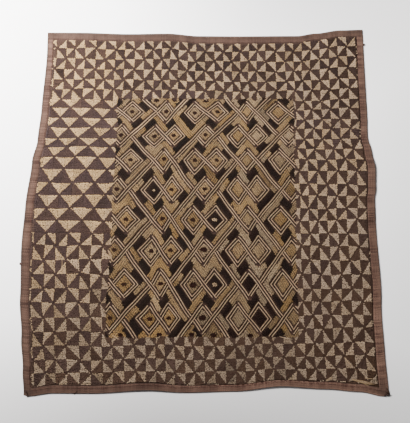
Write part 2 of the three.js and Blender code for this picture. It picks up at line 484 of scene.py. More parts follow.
def stitches(name, start, end, width, base, crown, tone, hue, material):
    """Laid stitches, each a strand that dips at both ends and lies highest in the middle."""
    along = end - start
    length = np.linalg.norm(along, axis=1)[:, None]
    side = crosswise(along) / length * width[:, None] / 2
    points = np.zeros((len(start), 8, 3))
    points[:, :, 2] = base[:, None]
    points[:, 0, :2] = start
    points[:, 7, :2] = end
    for ring, share in ((1, 0.28), (4, 0.72)):
        centre = start + along * share
        points[:, ring, :2] = centre + side
        points[:, ring + 1, :2] = centre
        points[:, ring + 2, :2] = centre - side
        points[:, ring + 1, 2] = crown
    shape = (STITCH_FACES, STITCH_CELLS)
    return fibre_piece(name, points, shape, tone, hue, STITCH_TIPS, material)


# Node groups and materials


def wire(tree, node, values):
    """Feeds a node's inputs, by label or number, from other nodes' outputs or with plain values."""
    for label, value in values.items():
        if hasattr(value, "links"):
            tree.links.new(value, node.inputs[label])
        elif value is not None:
            node.inputs[label].default_value = value


def add(tree, kind, values, **settings):
    """The outputs of a new node with these settings and inputs."""
    node = tree.nodes.new(kind)
    for key, value in settings.items():
        setattr(node, key, value)
    wire(tree, node, values)
    return node.outputs


def sum_up(tree, operation, a, b=None, clamp=False):
    return add(tree, "ShaderNodeMath", {0: a, 1: b}, operation=operation, use_clamp=clamp)[0]


def blend(tree, factor, a, b, kind="MIX"):
    colours = {0: factor, 6: a, 7: b}
    return add(tree, "ShaderNodeMix", colours, data_type="RGBA", blend_type=kind)[2]


def coords(tree):
    return add(tree, "ShaderNodeTexCoord", {})["Object"]


def noise(tree, **values):
    return add(tree, "ShaderNodeTexNoise", {"Vector": coords(tree), **values})["Fac"]


def grey(tree, value):
    return add(tree, "ShaderNodeCombineColor", {0: value, 1: value, 2: value})[0]


def attribute(tree, name):
    return add(tree, "ShaderNodeAttribute", {}, attribute_name=name)["Fac"]


def linear(*levels):
    """A colour as the eye names it, 0 to 255, as the shader takes it."""
    share = np.array(levels) / 255
    return (*np.where(share <= 0.04045, share / 12.92, ((share + 0.055) / 1.055) ** 2.4), 1)


def new_group(name, takes, gives):
    """A node group. What it takes and gives has a value if a number, and None if a colour."""
    group = bpy.data.node_groups.new(name, "ShaderNodeTree")
    for way, labels in (("INPUT", takes), ("OUTPUT", gives)):
        for label, value in labels.items():
            kind = "NodeSocketColor" if value is None else "NodeSocketFloat"
            socket = group.interface.new_socket(label, in_out=way, socket_type=kind)
            if value is not None:
                socket.default_value = value
    return group, group.nodes.new("NodeGroupInput").outputs, group.nodes.new("NodeGroupOutput")


def raffia_fibre_group():
    """Dyed raffia: two dyes by hue, lighter and darker by tone, painted shade at the root, streaked.
    """
    takes = {"Dye": None, "Second Dye": None, "Hue": 0.5, "Tone": 0.5, "Tip": 1.0}
    takes.update({"Root Shade": 0.4, "Uneven": 0.5})
    group, takes, result = new_group("raffia_fibre", takes, {"Colour": None, "Height": 0})
    fine = noise(group, Scale=1400, Detail=2)
    dye = blend(group, takes["Hue"], takes["Dye"], takes["Second Dye"])
    level = sum_up(group, "SUBTRACT", takes["Tone"], 0.5)
    for pattern in (fine, noise(group, Scale=24, Detail=4)):
        uneven = sum_up(group, "SUBTRACT", pattern, 0.5)
        level = sum_up(group, "ADD", level, sum_up(group, "MULTIPLY", uneven, 0.5))
    level = sum_up(group, "ADD", sum_up(group, "MULTIPLY", level, takes["Uneven"]), 1)
    # Painted shade towards the root, less towards the tip
    depth = sum_up(group, "SUBTRACT", 1, takes["Root Shade"])
    root = sum_up(group, "ADD", sum_up(group, "MULTIPLY", takes["Tip"], takes["Root Shade"]), depth)
    shade = grey(group, sum_up(group, "MULTIPLY", level, root))
    wire(group, result, {"Colour": blend(group, 1.0, dye, shade, "MULTIPLY"), "Height": fine})
    return group


def plain_weave_group():
    """Plain weave of flat strands: one over, one under, each strand a little different."""
    gives = {"Height": 0, "Strand": 0, "Weft": 0}
    group, takes, result = new_group("plain_weave", {"Across": 0, "Along": 0}, gives)

    def thread(value):
        bend = sum_up(group, "SINE", sum_up(group, "MULTIPLY", value, math.pi))
        number = {"W": sum_up(group, "FLOOR", value)}
        tone = add(group, "ShaderNodeTexWhiteNoise", number, noise_dimensions="1D")["Value"]
        return bend, sum_up(group, "ABSOLUTE", bend), tone

    warp_bend, warp_height, warp_tone = thread(takes["Across"])
    weft_bend, weft_height, weft_tone = thread(takes["Along"])
    over = sum_up(group, "MULTIPLY", warp_bend, weft_bend)
    over = sum_up(group, "ADD", sum_up(group, "MULTIPLY", over, 2.5), 0.5, clamp=True)
    under = sum_up(group, "SUBTRACT", 1, over)

    def either(warp, weft):
        shown_warp = sum_up(group, "MULTIPLY", warp, over)
        return sum_up(group, "ADD", shown_warp, sum_up(group, "MULTIPLY", weft, under))

    height = either(warp_height, weft_height)
    strand = either(warp_tone, weft_tone)
    wire(group, result, {"Height": height, "Strand": strand, "Weft": weft_tone})
    return group


def new_material(name):
    material = bpy.data.materials.new(name)
    material.use_nodes = True
    tree = material.node_tree
    return material, tree, tree.nodes["Principled BSDF"]


def dull_finish(tree, shader, colour, height, strength, depth, rough, sheen):
    """Hardly any shine, and a bump of this height, strength and depth in metres."""
    bump = {"Strength": strength, "Distance": depth, "Height": height}
    wire(tree, shader, {
        "Base Color": colour, "Normal": add(tree, "ShaderNodeBump", bump)["Normal"],
        "Roughness": rough, "Specular IOR Level": 0.12, "Sheen Weight": sheen,
    })


def raffia_material(name, fibre, dye, second, root_shade, uneven, sheen):
    material, tree, shader = new_material(name)
    looks = {label: attribute(tree, label.lower()) for label in ("Hue", "Tone", "Tip")}
    looks.update({"Dye": linear(*dye), "Second Dye": linear(*second)})
    looks.update({"Root Shade": root_shade, "Uneven": uneven})
    group = add(tree, "ShaderNodeGroup", looks, node_tree=fibre)
    dull_finish(tree, shader, group["Colour"], group["Height"], 0.3, 0.0003, 0.85, sheen)
    return material


def woven_material(weave):
    """The plain-woven ground and hem: a brown dye, with painted shade on the ground under the pile,
    darker along the fold as wear and painted shade.
    """
    material, tree, shader = new_material("woven_raffia")
    flat = add(tree, "ShaderNodeUVMap", {}, uv_map="flat_cloth")["UV"]
    s, t, _ = add(tree, "ShaderNodeSeparateXYZ", {0: flat})
    threads = {
        "Across": sum_up(tree, "MULTIPLY", s, 1 / (WARP_PITCH * MM)),
        "Along": sum_up(tree, "MULTIPLY", t, 1 / (WEFT_PITCH * MM)),
    }
    group = add(tree, "ShaderNodeGroup", threads, node_tree=weave)
    shade = sum_up(tree, "MULTIPLY", noise(tree, Scale=38, Detail=5, Roughness=0.75), 1.6)
    for label, share in (("Strand", 0.5), ("Weft", 0.35)):
        shade = sum_up(tree, "ADD", sum_up(tree, "MULTIPLY", group[label], share), shade)
    shade = sum_up(tree, "SUBTRACT", shade, 0.72, clamp=True)
    dyes = {
        name: blend(tree, shade, linear(*deep), linear(*light))
        for name, (deep, light) in WOVEN_DYES.items()
    }
    # The ground under the pile takes a darker dye: painted shade
    dye = blend(tree, attribute(tree, "hem"), dyes["ground"], dyes["hem"])
    # Darker along the fold, as wear and painted shade of the rolled edge
    worn_and_shaded = blend(tree, attribute(tree, "fold"), dye, dyes["rubbed_and_shaded"])
    # Lightness across the cloth, with painted light on the right and bottom fold
    lightened_colour = blend(tree, 1.0, worn_and_shaded, grey(tree, attribute(tree, "lightness_and_painted_light")), "MULTIPLY")
    dull_finish(tree, shader, lightened_colour, group["Height"], 0.6, 0.0004, 0.9, 0.03)
    return material


def floor_material():
    material, tree, shader = new_material("pale_floor")
    tone = blend(tree, noise(tree, Scale=3), (0.88, 0.87, 0.87, 1), (0.92, 0.92, 0.92, 1))
    # Painted soft shadows on the floor, below the cloth and beyond its top right
    for place, size, shade in PAINTED_FLOOR_SHADOWS:
        spot = {"Vector": coords(tree), "Location": (*place, 0), "Scale": (*size, 1)}
        spot = add(tree, "ShaderNodeMapping", spot, vector_type="TEXTURE")[0]
        soft = add(tree, "ShaderNodeTexGradient", {"Vector": spot}, gradient_type="SPHERICAL")
        tone = blend(tree, soft["Fac"], tone, shade)
    wire(tree, shader, {"Base Color": tone, "Roughness": 0.8})
    return material


# The woven cloth


def mesh_lines(size):
    last = EDGE_LINES[-1]
    inner = np.linspace(last, size - last, round((size - 2 * last) / MESH_STEP) + 1)[1:-1]
    return np.concatenate([EDGE_LINES, inner, (size - EDGE_LINES)[::-1]]) - size / 2


def wear_and_painted_shade(s, t, away):
    """Where the cloth takes a darker colour: along its fold, as wear and painted shade of the rolled
    edge, inside the top hem, and at the lower corners as wear.
    """
    # Along the fold: wear and painted shade of the rolled edge
    worn_and_shaded = 0.85 * (1 - rise(away.min(axis=0), 1.5, np.where(away[BOTTOM] < 12, 3, 6)))
    worn_and_shaded = np.maximum(worn_and_shaded, 0.8 * (1 - rise(away[TOP], 11, 16)))
    for corner_s, reach in ((-WIDTH / 2, 34), (WIDTH / 2, 46)):
        from_corner = np.hypot(s - corner_s, t + LENGTH / 2)
        worn_and_shaded = np.maximum(worn_and_shaded, 1 - rise(from_corner, 2, reach))
    return worn_and_shaded


def woven_lightness_and_painted_light(x, y, away):
    """How light the woven cloth is: lighter to the right, and painted light on the right and bottom
    fold, which turns away from the lamp.
    """
    lightness_and_painted_light = 0.76 + 0.27 * rise(x, -150, 200) + 0.45 * rise(x, -120, 100) * rise(-y, 60, 220)
    lightness_and_painted_light += 0.18 * (1 - rise(x, -250, -120)) * rise(y, 40, 200)
    # Painted light on the rim of the right and bottom fold, which turns away from the lamp
    for edge in (RIGHT, BOTTOM):
        lightness_and_painted_light *= 1 + 1.1 * (1 - rise(away[edge], 0.3, 3.5))
    return lightness_and_painted_light


def woven_cloth(material):
    """One closed sheet: a grid for the face, a copy for the underside, joined along the fold."""
    columns = mesh_lines(WIDTH)
    rows = mesh_lines(LENGTH)
    bm = bmesh.new()
    bmesh.ops.create_grid(bm, x_segments=len(columns) - 1, y_segments=len(rows) - 1, size=0.5)
    flat = np.array([vert.co[:2] for vert in bm.verts]) + 0.5
    s = columns[np.rint(flat[:, 0] * (len(columns) - 1)).astype(int)]
    t = rows[np.rint(flat[:, 1] * (len(rows) - 1)).astype(int)]
    x, y = laid(s, t)
    away, hem_width, up = from_edges(s, t)
    nearest = away.min(axis=0)
    hem = hem_share(away, hem_width)
    pucker = 0.1 * np.sin(s / 1.9 + 2 * np.sin(t / 31)) * np.sin(t / 2.1 + 2 * np.sin(s / 27))
    plateau = GROUND_TOP + (HEM_TOP - GROUND_TOP) * hem + pucker * hem
    top = lift(away, up) + np.minimum(plateau, np.interp(nearest, *zip(*FOLD)))
    under = lift(away, up) + np.interp(nearest, *zip(*UNDER_FOLD))
    worn_and_shaded = wear_and_painted_shade(s, t, away)
    marks = {"s": s, "t": t, "hem": hem, "fold": worn_and_shaded, "lightness_and_painted_light": woven_lightness_and_painted_light(x, y, away)}
    layers = {name: bm.verts.layers.float.new(name) for name in marks}
    for n, vert in enumerate(bm.verts):
        vert.co = ((x[n] + MIDDLE[0]) * MM, (y[n] + MIDDLE[1]) * MM, top[n] * MM)
        for name, values in marks.items():
            vert[layers[name]] = values[n]
    face_count = len(bm.verts)
    copy = bmesh.ops.duplicate(bm, geom=bm.verts[:] + bm.edges[:] + bm.faces[:])
    bm.verts.ensure_lookup_table()
    for n in range(face_count):
        bm.verts[face_count + n].co.z = under[n] * MM
    back = [item for item in copy["geom"] if isinstance(item, bmesh.types.BMFace)]
    bmesh.ops.reverse_faces(bm, faces=back)
    bmesh.ops.remove_doubles(bm, verts=bm.verts[:], dist=1e-7)
    flat_map = bm.loops.layers.uv.new("flat_cloth")
    for face in bm.faces:
        face.smooth = True
        for loop in face.loops:
            loop[flat_map].uv = (loop.vert[layers["s"]] * MM, loop.vert[layers["t"]] * MM)
    return new_piece("woven_cloth", mesh_from("woven_cloth", bm), material)


# The pattern


def lattice_place(across, down):
    """Where a point of the panel's lattice lies."""
    number, first, last = LOZENGE_COLUMNS.T
    share = (np.asarray(down, dtype=float) - FIRST_DOWN) / (LAST_DOWN - FIRST_DOWN)
    high = np.interp(across, number, first)
    low = np.interp(across, number, last)
    return high + (low - high) * share, np.interp(down, *LOZENGE_ROWS.T)


def lattice_read(x, y):
    """The lattice place of a point."""
    number, first, last = LOZENGE_COLUMNS.T
    rows = LOZENGE_ROWS[::-1]
    down = np.interp(y, rows[:, 1], rows[:, 0])
    share = (down - FIRST_DOWN) / (LAST_DOWN - FIRST_DOWN)
    high = np.interp(x, first, number)
    low = np.interp(x, last, number)
    return high + (low - high) * share, down


def down_of(row):
    """The lattice row of a row of lozenges."""
    return 2 * row + FIRST_DOWN


def lozenges():
    """Each lozenge's lattice place, kind and fill, with those that the panel's edge cuts."""
    listed = []
    for row in ROWS:
        whole = row in range(len(LOZENGE_FILLS))
        fills = dict(zip(SHOWN_COLUMNS[row % 2], LOZENGE_FILLS[row])) if whole else {}
        for group in range(5):
            if (group + row) % 2:
                kinds = [(0, "back" if group % 2 and (row, group) != TURNED_LOZENGE else "slash")]
            else:
                kinds = [(-1, "left"), (1, "right")]
            for step, kind in kinds:
                across = 4 * group + step
                listed.append((across, down_of(row), kind, fills.get(across, "o")))
    return listed


def corners_of(across, down, kind):
    """The lozenge's corners: a pair meets on its shared line, other side corners fall short."""
    return {
        "top": (across, down - LOZENGE_RISE),
        "right": (across + (1 if kind == "left" else LOZENGE_REACH), down),
        "bottom": (across, down + LOZENGE_RISE),
        "left": (across - (1 if kind == "right" else LOZENGE_REACH), down),
    }


RING_SIDES = {
    "slash": [("top", "right"), ("bottom", "left")],
    "back": [("left", "top"), ("right", "bottom")],
    "left": [("left", "top"), ("bottom", "left"), ("right", "bottom")],
    "right": [("left", "top"), ("top", "right"), ("right", "bottom")],
}


def point(place):
    return np.array(lattice_place(*place))


def band_lines():
    """The sides of the lozenges, and the bands that run on from them, the long ones marked."""
    rings, bands = [], []
    turned = (4 * TURNED_LOZENGE[1], down_of(TURNED_LOZENGE[0]))
    for across, down, kind, _ in lozenges():
        corner = corners_of(across, down, kind)
        centre = point((across, down))
        if FIRST_DOWN <= down <= LAST_DOWN:
            rings += [(point(corner[a]), point(corner[b]), centre) for a, b in RING_SIDES[kind]]
        ways = []
        if kind in ("slash", "back"):
            turn = -1 if kind == "slash" else 1
            ways.append((corner["top"], (across + 3 * turn, down + 2), True))
            ways.append((corner["bottom"], (across - 3 * turn, down - 2), True))
        if (across, down) == turned:
            ways.append(((across - 0.9, down - 0.1), (across - 3, down - 2), False))
        if kind == "left":
            far = corners_of(across + 2, down, "right")["bottom"]
            ways.append((corner["top"], far, False))
        bands += [(point(a), point(b), centre, long) for a, b, long in ways]
    return rings, bands


def distance_to(x, y, lines):
    """Distance of each point to the nearest of the lines."""
    best = np.full(len(x), np.inf)
    for line in lines:
        a, b = line[0], line[1]
        along = b - a
        share = np.clip(((x - a[0]) * along[0] + (y - a[1]) * along[1]) / (along @ along), 0, 1)
        best = np.minimum(best, np.hypot(x - a[0] - share * along[0], y - a[1] - share * along[1]))
    return best


def in_panel(x, y, shift=0.0):
    """Whether points lie in the panel, with its edges shifted this much."""
    return (
        (x > PANEL["left"] + LEFT_LEAN * y + shift)
        & (x < PANEL["right"] + RIGHT_LEAN * y + shift)
        & (y < PANEL["top"] + shift)
        & (y > PANEL["bottom"] + shift)
    )


def field_of(s, t, spread):
    """For points of the field: dark or not, the way to push a tuft clear of the lines, the
    triangle's number and the lane along its long side. Dark triangles spread by this much."""
    column = np.clip(np.searchsorted(COLUMN_LINES, s) - 1, 0, len(COLUMN_LINES) - 2)
    wide = COLUMN_LINES[column + 1] - COLUMN_LINES[column]
    across = (s - COLUMN_LINES[column]) / wide
    number = np.arange(len(ROW_LINES))
    at_left = np.interp(-t, -ROW_LINES[:, 0], number)
    at_right = np.interp(-t, -ROW_LINES[:, 1], number)
    place = at_left + (at_right - at_left) * rise(s, 110, 270)
    row = np.clip(np.floor(place).astype(int), 0, len(ROW_LINES) - 2)
    down = place - row
    tall = ROW_LINES[row, 0] - ROW_LINES[row + 1, 0]
    slash = (column + row) % 2 == 0
    plain = (column <= PLAIN_COLUMNS) & (row >= PLAIN_ROWS[0]) & (row <= PLAIN_ROWS[1])
    lean = np.where(slash, 1.0, -1.0)
    slope = np.hypot(1 / wide, 1 / tall)
    below = np.where(slash, across + down - 1, down - across) / slope
    turn = np.where(plain | (column % 2 == 0), 1.0, -1.0)
    inward = turn * below + spread
    clear = np.sign(inward) * np.clip(EDGE_CLEAR - np.abs(inward), 0, None) * turn / slope
    push_s = clear * lean / wide
    push_t = -clear / tall
    push_s += np.clip(EDGE_CLEAR - across * wide, 0, None)
    push_s -= np.clip(EDGE_CLEAR - (1 - across) * wide, 0, None)
    push_t -= np.clip(EDGE_CLEAR - down * tall, 0, None)
    push_t += np.clip(EDGE_CLEAR - (1 - down) * tall, 0, None)
    lane = np.floor(np.abs(inward) / LANE_WIDTH).astype(int)
    return inward > 0, push_s, push_t, (row * 64 + column) * 2 + (below > 0), lane


def runs_down(n):
    """Whether the corridor runs down to the right at this cell, or else up to the right."""
    a, _, cell = CORRIDOR[n]
    return CORRIDOR[n - 1][0] != a if cell != "." else CORRIDOR[(n + 1) % len(CORRIDOR)][0] != a


def from_eye(x, y, px, py):
    """Distance from the middle of an eye, as an eye is wider than it is tall."""
    return np.hypot((x - px) * 0.9, (y - py) * 1.2)


def panel_of(x, y):
    """For points of the panel: colour of the pile, a number for the bar or lozenge, the strand
    along the bar, and whether the bar runs down to the right."""
    across, down = lattice_read(x, y)
    colour = np.full(len(x), "G")
    motif = np.zeros(len(x), dtype=int)
    downward = np.ones(len(x), dtype=bool)
    u, v = across + down, across - down
    strand = np.floor(v * ROWS_PER_CELL).astype(int)
    for cx, cy, _, _ in lozenges():
        dx, dy = across - cx, down - cy
        spread = np.abs(dx) + np.abs(dy)
        gap = (spread < CELL_REACH) & (np.abs(dx) + np.abs(dy) / LOZENGE_RISE > 1)
        scale = CELL_REACH / np.maximum(spread[gap], 0.05)
        u[gap] = cx + cy + (dx[gap] + dy[gap]) * scale
        v[gap] = cx - cy + (dx[gap] - dy[gap]) * scale
    for row in ROWS:
        for group in range(-1, 6):
            if (group + row) % 2:
                continue
            i = u - (4 * group - 3 + down_of(row))
            j = v - (4 * group - 3 - down_of(row))
            bars = BLACK_CELLS[(row + 2 * group) % len(BLACK_CELLS)]
            for n, (a, b, cell) in enumerate(CORRIDOR):
                here = (np.floor(i) == a) & (np.floor(j) == b)
                motif[here] = BAR_NUMBERS + (row * 8 + group) * 16 + (n + 1) // 3
                downward[here] = runs_down(n)
                strand[here] = np.floor((j if runs_down(n) else i)[here] * ROWS_PER_CELL)
                along, side = (i - a, j - b) if runs_down(n) else (j - b, i - a)
                bar = (np.abs(along - 0.5) < 0.5 + BAR_OVERRUN) & (np.floor(side) == 0)
                if cell in bars:
                    colour[bar] = "K"
    for n, (cx, cy, _, fill) in enumerate(lozenges()):
        here = np.abs(across - cx) + np.abs(down - cy) / LOZENGE_RISE < 1
        motif[here] = LOZENGE_NUMBERS + n
        downward[here] = True
        strand[here] = np.floor((across - down)[here] * ROWS_PER_CELL)
        colour[here] = "K" if fill in "kKb" else "G"
        eye = here & (from_eye(x, y, *lattice_place(cx, cy)) < EYE_RADII.get(fill, 0))
        colour[eye] = "C" if fill in "kK" else "K"
        if fill in "oO":
            motif[eye] = EYE
    for edge, inward in (("top", -1), ("bottom", 1)):
        py = PANEL[edge] + EDGE_EYE_INSET * inward
        for column in EDGE_EYES[edge]:
            px = lattice_place(column, lattice_read(0, py)[1])[0]
            away = from_eye(x, y, px, py)
            colour[away < EDGE_EYE_ROOM] = "G"
            colour[away < EDGE_EYE_RADIUS] = "K"
            motif[away < EDGE_EYE_RADIUS] = EYE
    return colour, motif, strand, downward


# Tufts


def tuft_grid():
    """Places for tufts all over the cloth, in rows that follow the weave."""
    half_width, half_length = WIDTH / 2 - GRID_INSET, LENGTH / 2 - GRID_INSET
    across = np.arange(-half_width, half_width, TUFT_PITCH)
    along = np.arange(-half_length, half_length, ROW_PITCH)
    s, t = np.meshgrid(across, along)
    teeth = chance.normal(0, 0.15, s.shape[0])[:, None] + np.zeros_like(s)
    s = s + 0.5 * TUFT_PITCH * (np.arange(len(along)) % 2)[:, None]
    s = s + chance.normal(0, 0.22, s.shape)
    t = t + chance.normal(0, 0.22, t.shape)
    return s.ravel(), t.ravel(), teeth.ravel()


def panel_grid():
    """Places for tufts in the panel, in rows that run down to the right, then up to the right."""
    first, last = PANEL_CELLS
    number = np.arange(first * ROWS_PER_CELL, last * ROWS_PER_CELL)
    row, along = np.meshgrid(number + 0.5, number + 0.5, indexing="ij")
    along = along + 0.5 * (np.floor(row) % 2)
    row, along = row.ravel() / ROWS_PER_CELL, along.ravel() / ROWS_PER_CELL
    u = np.concatenate([along, row])
    v = np.concatenate([row, along])
    downward = np.repeat([True, False], len(row))
    x, y = lattice_place((u + v) / 2, (u - v) / 2)
    inside = in_panel(x, y, ragged(x, y))
    x = x[inside] + chance.normal(0, 0.15, inside.sum())
    y = y[inside] + chance.normal(0, 0.15, inside.sum())
    dx, dy = wander(x, y)
    return *unlaid(x + dx, y + dy), downward[inside]


def tuft_places():
    """All tufts, the field's first: place, row's drift, if in the panel and if it runs down."""
    s, t, teeth = tuft_grid()
    x, y = laid(s, t)
    dx, dy = wander(x, y)
    away, hem, _ = from_edges(s, t)
    field = (away - hem).min(axis=0) > HEM_CLEAR
    field &= ~in_panel(x - dx, y - dy, ragged(x, y))
    panel_s, panel_t, downward = panel_grid()
    s = np.concatenate([s[field], panel_s])
    t = np.concatenate([t[field], panel_t])
    teeth = np.concatenate([teeth[field], np.zeros(len(panel_s))])
    return s, t, teeth, np.arange(len(s)) >= field.sum(), downward


def streaks(s, t, lane, panel, strand, motif):
    """Lighter and darker strands by turns, and each strand a little different."""
    per_strand = chance.normal(0, 1, NUMBERS)
    weft = np.rint((t + LENGTH / 2 - GRID_INSET) / ROW_PITCH).astype(int)
    streak = 0.09 * per_strand[(weft * 131 + np.floor(s / 9).astype(int) * 17) % NUMBERS]
    streak += np.where(lane % 2, 0.12, -0.12) + np.where(weft % 2, 0.06, -0.06)
    streak[panel] = np.where(strand % 2, 0.4, -0.4)
    streak[panel] += 0.15 * per_strand[(strand * 37 + motif[panel]) % NUMBERS]
    streak[motif == EYE] = -0.4
    return streak


def tuft_hues(x, y, colour, panel, eye, motif_hue):
    """Where each tuft stands between its two dyes: by motif, by chance and by soiling."""
    own_hue = chance.random(len(x))
    soil = rise(0.6 * x - 1.2 * y, -380, 400)
    greyed = 0.9 * soil + 0.4 * rise(x, -200, -50) * rise(y, 50, 200)
    cream = 0.6 * (0.55 * motif_hue + 0.45 * own_hue) - 0.25 + greyed
    browned = 0.4 * motif_hue + 0.05 + 0.55 * soil + 0.3 * rise(y, 120, 220)
    straw = 0.25 * rise(x, 20, 70) + 0.5 * straw_share(x, y)
    straw -= 0.3 * rise(x, 95, 135) * rise(-y, -50, 50)
    paled = 0.6 * motif_hue * (1 + straw) + 0.25 * own_hue - 0.1 + 0.55 * straw
    hue = np.where(panel, paled, np.where(colour == "C", cream, browned))
    hue = np.clip(hue, 0, 1)
    return np.where(colour == "K", np.where(eye, 1, 0.35 * hue), hue)


def part_of(tufts, pick):
    return {key: values[pick] for key, values in tufts.items()}


def sort_tufts(rings, bands):
    """The tufts of each colour of pile: C cream, D dark, G gold and K black."""
    s, t, teeth, panel, row_downward = tuft_places()
    count = len(s)
    away, hem, up = from_edges(s, t)
    inside = away - hem
    x, y = laid(s, t)
    dx, dy = wander(x, y)
    u, v = shares(s, t)
    row_t = y - read(EDGES["top"], u) * v**EDGE_PULL + 0.9 * read(EDGES["bottom"], u) * (1 - v) ** 9
    spread = 1.05 + 0.6 * rise(y - x, 0, 350)
    dark, push_s, push_t, motif, lane = field_of(s - dx + teeth, row_t - dy, spread)
    shade = slow_shade(x, y)
    low = lift(away, up) + GROUND_TOP - 0.15
    high = lift(away, up) + PILE_TOP + 0.06 * shade + chance.normal(0, 0.07, count)
    high -= 0.5 * (1 - rise(inside.min(axis=0), 0, 4))
    x = np.where(panel, x, x + push_s)
    y = np.where(panel, y, y + push_t)
    colour = np.where(dark, "D", "C")
    # Mostly dark tufts along the inner edge of the side hems: painted shade of the seam
    beside = inside[[LEFT, RIGHT]].min(axis=0)
    colour[(beside < 2.6) & (chance.random(count) < 0.75)] = "D"
    px, py = (x - dx)[panel], (y - dy)[panel]
    colour[panel], motif[panel], strand, downward = panel_of(px, py)
    keep = np.ones(count, dtype=bool)
    keep[panel] = (distance_to(px, py, rings + bands) > BAND_HALF) & (downward == row_downward)
    eye = motif == EYE
    high += 0.2 * eye
    per_motif = chance.normal(0, 1, NUMBERS)
    per_hue = chance.random(NUMBERS)
    streak = streaks(s, t, lane, panel, strand, motif)
    tone = 0.5 + 0.17 * per_motif[motif] + 0.12 * shade
    tone += np.where(panel, 0.07, 0.1) * chance.normal(0, 1, count)
    # Painted light and shade across the cloth, with some paling and soiling of the dyes
    tone += streak + painted_light_and_fading(x, y, colour)
    hue = tuft_hues(x, y, colour, panel, eye, per_hue[motif])
    tufts = {"x": x, "y": y, "low": low, "high": high, "tone": tone, "hue": hue}
    return {letter: part_of(tufts, keep & (colour == letter)) for letter in "CDGK"}


# Stitched lines


def run_of_stitches(a, b):
    """Stitch starts and ends along a line."""
    whole = np.linalg.norm(b - a)
    if whole < SHORTEST_RUN:
        return np.zeros((0, 2)), np.zeros((0, 2))
    along = (b - a) / whole
    middles = np.arange(STITCH_STEP / 2, whole, STITCH_STEP)
    room = np.minimum(middles + RUN_OVER, whole - middles + RUN_OVER)
    half = np.minimum(STITCH_LENGTH / 2, room)
    return a + (middles - half)[:, None] * along, a + (middles + half)[:, None] * along


def line_stitches(offsets, rings, bands):
    """Stitches of the bands at these distances from their middle lines."""
    runs = []
    for a, b, centre in rings:
        along = unit(b - a)
        depth = abs((a - centre) @ crosswise(along))
        crossing = [line for line in bands if abs(along @ unit(line[1] - line[0])) < 0.8]
        for offset in offsets:
            scale = 1 + offset / depth
            ends = [centre + (end - centre) * scale for end in (a, b)]
            start, end = run_of_stitches(*ends)
            away = distance_to(*halfway(start, end), crossing)
            clear = away > (3.8 if offset > 0 else max(1.2, -offset - 0.4))
            runs.append((start[clear], end[clear]))
    for a, b, centre, long in bands:
        along = unit(b - a)
        normal = crosswise(along)
        outward = 1 if (a - centre) @ normal > 0 else -1
        for offset in offsets:
            begin = a + normal * offset - along * MITRE * offset * outward
            stop = LONG_BAND_STOP if long else -MITRE * offset * outward
            runs.append(run_of_stitches(begin, b + normal * offset - along * stop))
    start, end = (np.concatenate(ends) for ends in zip(*runs))
    inside = in_panel(*halfway(start, end))
    return start[inside], end[inside]


def line_piece(name, offsets, width, crown, rings, bands, material):
    """Stitched lines of one colour, each stitch laid a little askew."""
    start, end = line_stitches(offsets, rings, bands)
    count = len(start)
    twist = crosswise(end - start) * (0.09 + chance.normal(0, 0.03, count)[:, None])
    start = start - twist
    end = end + twist
    drift = np.stack(wander(*halfway(start, end)), axis=1)
    tone = 0.5 + 0.16 * chance.normal(0, 1, count) + 0.1 * slow_shade(*start.T)
    tone += 0.25 * rise(-start[:, 1], 0, 200)
    wide = width * chance.normal(1, 0.08, count)
    base = np.full(count, GROUND_TOP - 0.1)
    crowns = crown + chance.normal(0, 0.06, count)
    hue = chance.random(count)
    return stitches(name, start + drift, end + drift, wide, base, crowns, tone, hue, material)


# Sewing and loose ends


def hem_sewing(name, rows, material):
    """Running stitches along the hem."""
    starts, ends, tones = [], [], []
    for edge, low, high, inset, step, length, tone in rows:
        whole = LENGTH if edge in ("left", "right") else WIDTH
        middle = np.arange(low * whole, high * whole, step)
        middle = middle + chance.normal(0, 0.12 * step, len(middle))
        deep = inset + chance.normal(0, 0.25, len(middle)) + 0.5 * np.sin(middle / 23)
        half = length / 2 * chance.normal(1, 0.2, len(middle))
        for group, shift in ((starts, -half), (ends, half)):
            along = middle + shift - whole / 2
            place = {
                "left": (deep - WIDTH / 2, along), "right": (WIDTH / 2 - deep, along),
                "bottom": (along, deep - LENGTH / 2), "top": (along, LENGTH / 2 - deep),
            }[edge]
            group.append(np.stack(laid(*place), axis=1))
        tones.append(tone + 0.25 * chance.normal(0, 1, len(middle)))
    start, end, tone = np.concatenate(starts), np.concatenate(ends), np.concatenate(tones)
    wide = np.full(len(start), HEM_STITCH_WIDTH)
    away, _, up = from_edges(*unlaid(*halfway(start, end)))
    base = lift(away, up) + HEM_TOP - 0.35
    hue = chance.random(len(start))
    return stitches(name, start, end, wide, base, base + 0.6, tone, hue, material)


def strand_shape():
    """Faces of a strand of three-sided rings, and their places in the bake map."""
    faces = [(0, 2, 1)]
    cells = [[(0, 0), (0.3, 0), (0.15, 0.04)]]
    for ring in range(STRAND_RINGS - 1):
        for k in range(3):
            a, b = 3 * ring + k, 3 * ring + (k + 1) % 3
            faces.append((a, b, b + 3, a + 3))
            cells.append(side_cell(k, 0.05 + 0.15 * ring, 0.05 + 0.15 * (ring + 1)))
    faces.append(tuple(3 * STRAND_RINGS - 3 + k for k in range(3)))
    cells.append([(0.5, 0.96), (0.8, 0.96), (0.65, 1)])
    return faces, cells


